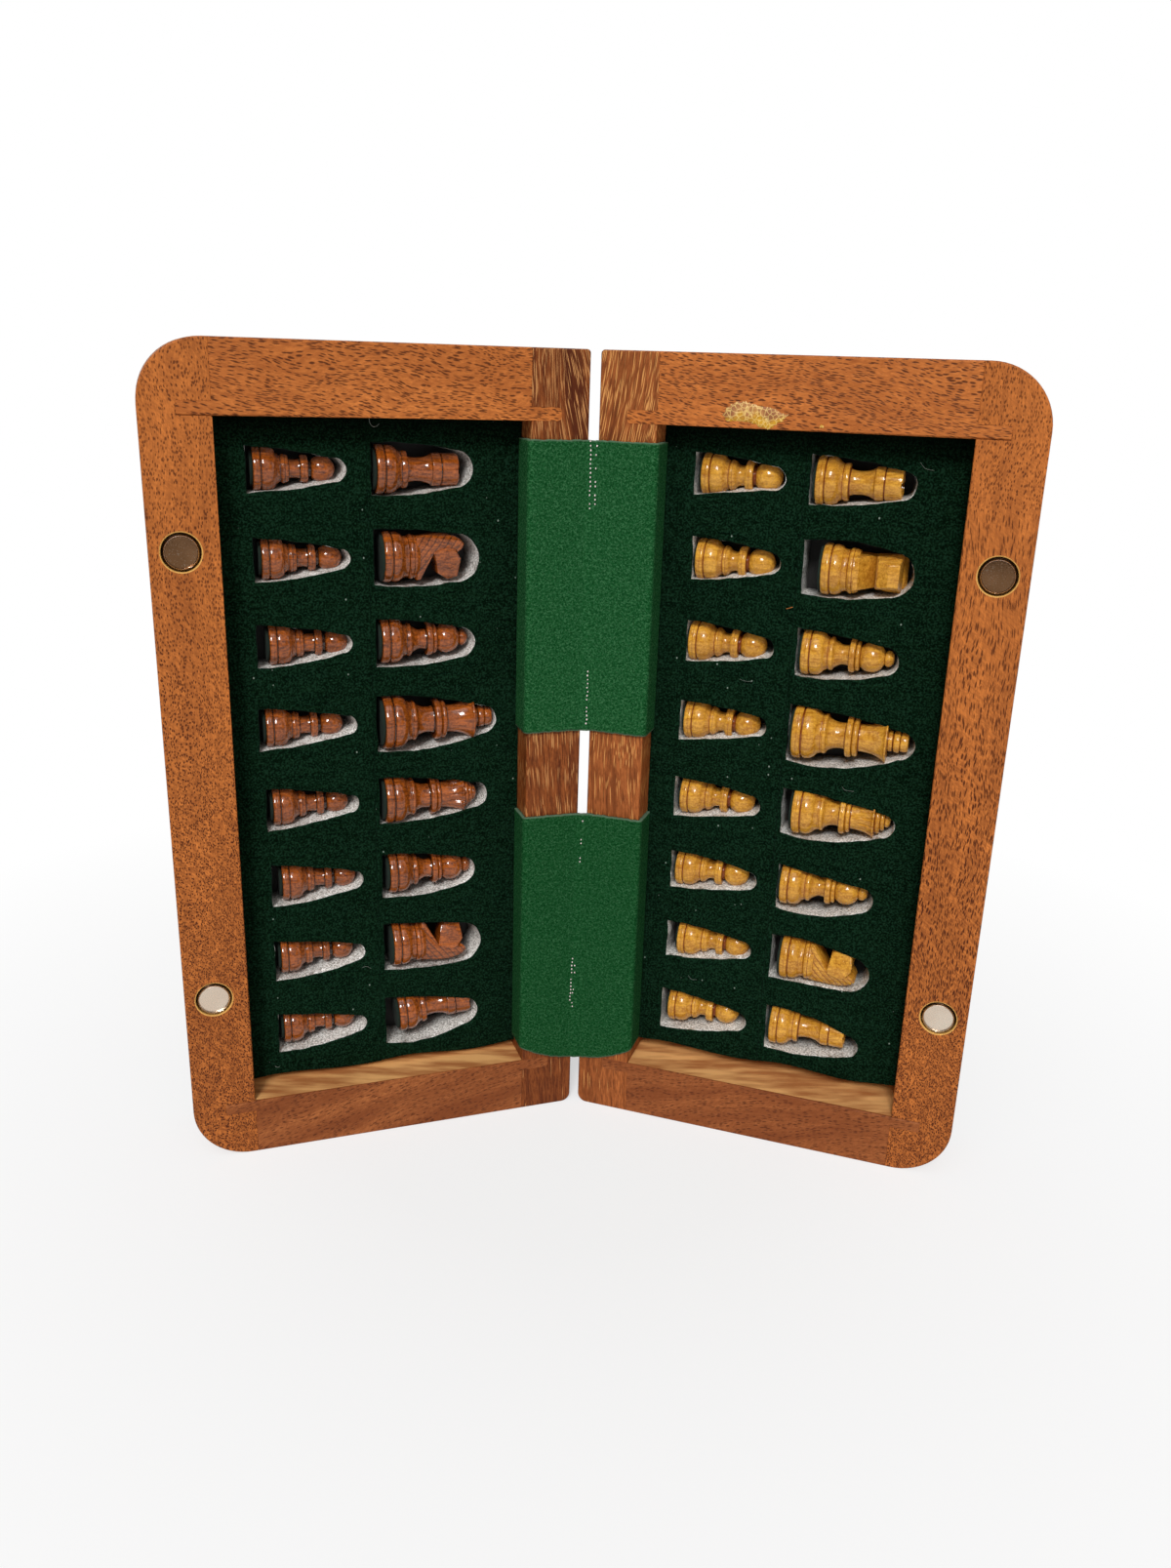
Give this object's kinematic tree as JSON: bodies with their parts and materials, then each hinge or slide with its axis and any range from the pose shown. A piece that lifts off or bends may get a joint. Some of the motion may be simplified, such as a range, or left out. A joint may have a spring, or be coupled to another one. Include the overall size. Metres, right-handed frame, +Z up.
{
  "type": "chess box with hinged lid",
  "caption": "Folding wooden chess box: two trays on cloth strap hinges, velvet-faced foam slots for the men, closing magnets, board on the back.",
  "frame": {"origin": "middle of the footprint, on the surface that the two trays stand on", "axes": "+Z up along the fold; -Y the side that the open insides face; +X from the case tray to the lid tray"},
  "size_m": [0.1842, 0.0476, 0.178],
  "materials": {
    "outer_rail_wood": "oiled, satin",
    "spine_rail_wood": "oiled, satin",
    "end_rail_wood": "oiled, satin",
    "plywood": "raw",
    "steel": "plain",
    "dark_veneer": "satin varnish",
    "light_veneer": "satin varnish",
    "magnet_nickel": "nickel plated",
    "grey_foam": "open-cell foam, cut",
    "green_velvet": "flocked velvet",
    "green_felt": "felt",
    "dark_turned_wood": "stained and polished",
    "light_turned_wood": "polished boxwood"
  },
  "bodies": {
    "case": {"case_outer_rail": "outer_rail_wood", "case_spine_rail": "spine_rail_wood", "case_top_rail": "end_rail_wood", "case_bottom_rail": "end_rail_wood", "case_board_panel": "plywood", "case_steel_sheet": "steel", "case_board_veneer": "dark_veneer", "case_light_squares": "light_veneer", "case_magnets": "magnet_nickel", "case_pawn_foam": "grey_foam", "case_piece_foam": "grey_foam", "case_pawn_velvet": "green_velvet", "case_piece_velvet": "green_velvet", "upper_strap": "green_felt", "lower_strap": "green_felt"},
    "lid": {"lid_outer_rail": "outer_rail_wood", "lid_spine_rail": "spine_rail_wood", "lid_top_rail": "end_rail_wood", "lid_bottom_rail": "end_rail_wood", "lid_board_panel": "plywood", "lid_steel_sheet": "steel", "lid_board_veneer": "dark_veneer", "lid_light_squares": "light_veneer", "lid_magnets": "magnet_nickel", "lid_pawn_foam": "grey_foam", "lid_piece_foam": "grey_foam", "lid_pawn_velvet": "green_velvet", "lid_piece_velvet": "green_velvet"},
    "dark_pawn_1": {"dark_pawn_1": "dark_turned_wood"},
    "dark_pawn_2": {"dark_pawn_2": "dark_turned_wood"},
    "dark_pawn_3": {"dark_pawn_3": "dark_turned_wood"},
    "dark_pawn_4": {"dark_pawn_4": "dark_turned_wood"},
    "dark_pawn_5": {"dark_pawn_5": "dark_turned_wood"},
    "dark_pawn_6": {"dark_pawn_6": "dark_turned_wood"},
    "dark_pawn_7": {"dark_pawn_7": "dark_turned_wood"},
    "dark_pawn_8": {"dark_pawn_8": "dark_turned_wood"},
    "dark_rook_1": {"dark_rook_1": "dark_turned_wood"},
    "dark_knight_1": {"dark_knight_1": "dark_turned_wood"},
    "dark_bishop_1": {"dark_bishop_1": "dark_turned_wood"},
    "dark_king": {"dark_king": "dark_turned_wood"},
    "dark_queen": {"dark_queen": "dark_turned_wood"},
    "dark_bishop_2": {"dark_bishop_2": "dark_turned_wood"},
    "dark_knight_2": {"dark_knight_2": "dark_turned_wood"},
    "dark_rook_2": {"dark_rook_2": "dark_turned_wood"},
    "light_pawn_1": {"light_pawn_1": "light_turned_wood"},
    "light_pawn_2": {"light_pawn_2": "light_turned_wood"},
    "light_pawn_3": {"light_pawn_3": "light_turned_wood"},
    "light_pawn_4": {"light_pawn_4": "light_turned_wood"},
    "light_pawn_5": {"light_pawn_5": "light_turned_wood"},
    "light_pawn_6": {"light_pawn_6": "light_turned_wood"},
    "light_pawn_7": {"light_pawn_7": "light_turned_wood"},
    "light_pawn_8": {"light_pawn_8": "light_turned_wood"},
    "light_rook_1": {"light_rook_1": "light_turned_wood"},
    "light_knight_1": {"light_knight_1": "light_turned_wood"},
    "light_bishop_1": {"light_bishop_1": "light_turned_wood"},
    "light_king": {"light_king": "light_turned_wood"},
    "light_queen": {"light_queen": "light_turned_wood"},
    "light_bishop_2": {"light_bishop_2": "light_turned_wood"},
    "light_knight_2": {"light_knight_2": "light_turned_wood"},
    "light_rook_2": {"light_rook_2": "light_turned_wood"}
  },
  "joints": [
    {"name": "lid_hinge", "type": "hinge", "parent": "case", "child": "lid", "pos_m": [0, 0.00418, 0], "axis": [0, 0, 1], "range_deg": [-142.6, 37.4], "deforming": ["upper_strap", "lower_strap"]},
    {"name": "dark_pawn_1_lift", "type": "slide", "parent": "case", "child": "dark_pawn_1", "axis": [0.3206, -0.9472, 0], "range_m": [0, 0.02]},
    {"name": "dark_pawn_2_lift", "type": "slide", "parent": "case", "child": "dark_pawn_2", "axis": [0.3206, -0.9472, 0], "range_m": [0, 0.02]},
    {"name": "dark_pawn_3_lift", "type": "slide", "parent": "case", "child": "dark_pawn_3", "axis": [0.3206, -0.9472, 0], "range_m": [0, 0.02]},
    {"name": "dark_pawn_4_lift", "type": "slide", "parent": "case", "child": "dark_pawn_4", "axis": [0.3206, -0.9472, 0], "range_m": [0, 0.02]},
    {"name": "dark_pawn_5_lift", "type": "slide", "parent": "case", "child": "dark_pawn_5", "axis": [0.3206, -0.9472, 0], "range_m": [0, 0.02]},
    {"name": "dark_pawn_6_lift", "type": "slide", "parent": "case", "child": "dark_pawn_6", "axis": [0.3206, -0.9472, 0], "range_m": [0, 0.02]},
    {"name": "dark_pawn_7_lift", "type": "slide", "parent": "case", "child": "dark_pawn_7", "axis": [0.3206, -0.9472, 0], "range_m": [0, 0.02]},
    {"name": "dark_pawn_8_lift", "type": "slide", "parent": "case", "child": "dark_pawn_8", "axis": [0.3206, -0.9472, 0], "range_m": [0, 0.02]},
    {"name": "dark_rook_1_lift", "type": "slide", "parent": "case", "child": "dark_rook_1", "axis": [0.3206, -0.9472, 0], "range_m": [0, 0.02]},
    {"name": "dark_knight_1_lift", "type": "slide", "parent": "case", "child": "dark_knight_1", "axis": [0.3206, -0.9472, 0], "range_m": [0, 0.02]},
    {"name": "dark_bishop_1_lift", "type": "slide", "parent": "case", "child": "dark_bishop_1", "axis": [0.3206, -0.9472, 0], "range_m": [0, 0.02]},
    {"name": "dark_king_lift", "type": "slide", "parent": "case", "child": "dark_king", "axis": [0.3206, -0.9472, 0], "range_m": [0, 0.02]},
    {"name": "dark_queen_lift", "type": "slide", "parent": "case", "child": "dark_queen", "axis": [0.3206, -0.9472, 0], "range_m": [0, 0.02]},
    {"name": "dark_bishop_2_lift", "type": "slide", "parent": "case", "child": "dark_bishop_2", "axis": [0.3206, -0.9472, 0], "range_m": [0, 0.02]},
    {"name": "dark_knight_2_lift", "type": "slide", "parent": "case", "child": "dark_knight_2", "axis": [0.3206, -0.9472, 0], "range_m": [0, 0.02]},
    {"name": "dark_rook_2_lift", "type": "slide", "parent": "case", "child": "dark_rook_2", "axis": [0.3206, -0.9472, 0], "range_m": [0, 0.02]},
    {"name": "light_pawn_1_lift", "type": "slide", "parent": "lid", "child": "light_pawn_1", "axis": [-0.3206, -0.9472, 0], "range_m": [0, 0.02]},
    {"name": "light_pawn_2_lift", "type": "slide", "parent": "lid", "child": "light_pawn_2", "axis": [-0.3206, -0.9472, 0], "range_m": [0, 0.02]},
    {"name": "light_pawn_3_lift", "type": "slide", "parent": "lid", "child": "light_pawn_3", "axis": [-0.3206, -0.9472, 0], "range_m": [0, 0.02]},
    {"name": "light_pawn_4_lift", "type": "slide", "parent": "lid", "child": "light_pawn_4", "axis": [-0.3206, -0.9472, 0], "range_m": [0, 0.02]},
    {"name": "light_pawn_5_lift", "type": "slide", "parent": "lid", "child": "light_pawn_5", "axis": [-0.3206, -0.9472, 0], "range_m": [0, 0.02]},
    {"name": "light_pawn_6_lift", "type": "slide", "parent": "lid", "child": "light_pawn_6", "axis": [-0.3206, -0.9472, 0], "range_m": [0, 0.02]},
    {"name": "light_pawn_7_lift", "type": "slide", "parent": "lid", "child": "light_pawn_7", "axis": [-0.3206, -0.9472, 0], "range_m": [0, 0.02]},
    {"name": "light_pawn_8_lift", "type": "slide", "parent": "lid", "child": "light_pawn_8", "axis": [-0.3206, -0.9472, 0], "range_m": [0, 0.02]},
    {"name": "light_rook_1_lift", "type": "slide", "parent": "lid", "child": "light_rook_1", "axis": [-0.3206, -0.9472, 0], "range_m": [0, 0.02]},
    {"name": "light_knight_1_lift", "type": "slide", "parent": "lid", "child": "light_knight_1", "axis": [-0.3206, -0.9472, 0], "range_m": [0, 0.02]},
    {"name": "light_bishop_1_lift", "type": "slide", "parent": "lid", "child": "light_bishop_1", "axis": [-0.3206, -0.9472, 0], "range_m": [0, 0.02]},
    {"name": "light_king_lift", "type": "slide", "parent": "lid", "child": "light_king", "axis": [-0.3206, -0.9472, 0], "range_m": [0, 0.02]},
    {"name": "light_queen_lift", "type": "slide", "parent": "lid", "child": "light_queen", "axis": [-0.3206, -0.9472, 0], "range_m": [0, 0.02]},
    {"name": "light_bishop_2_lift", "type": "slide", "parent": "lid", "child": "light_bishop_2", "axis": [-0.3206, -0.9472, 0], "range_m": [0, 0.02]},
    {"name": "light_knight_2_lift", "type": "slide", "parent": "lid", "child": "light_knight_2", "axis": [-0.3206, -0.9472, 0], "range_m": [0, 0.02]},
    {"name": "light_rook_2_lift", "type": "slide", "parent": "lid", "child": "light_rook_2", "axis": [-0.3206, -0.9472, 0], "range_m": [0, 0.02]}
  ]
}
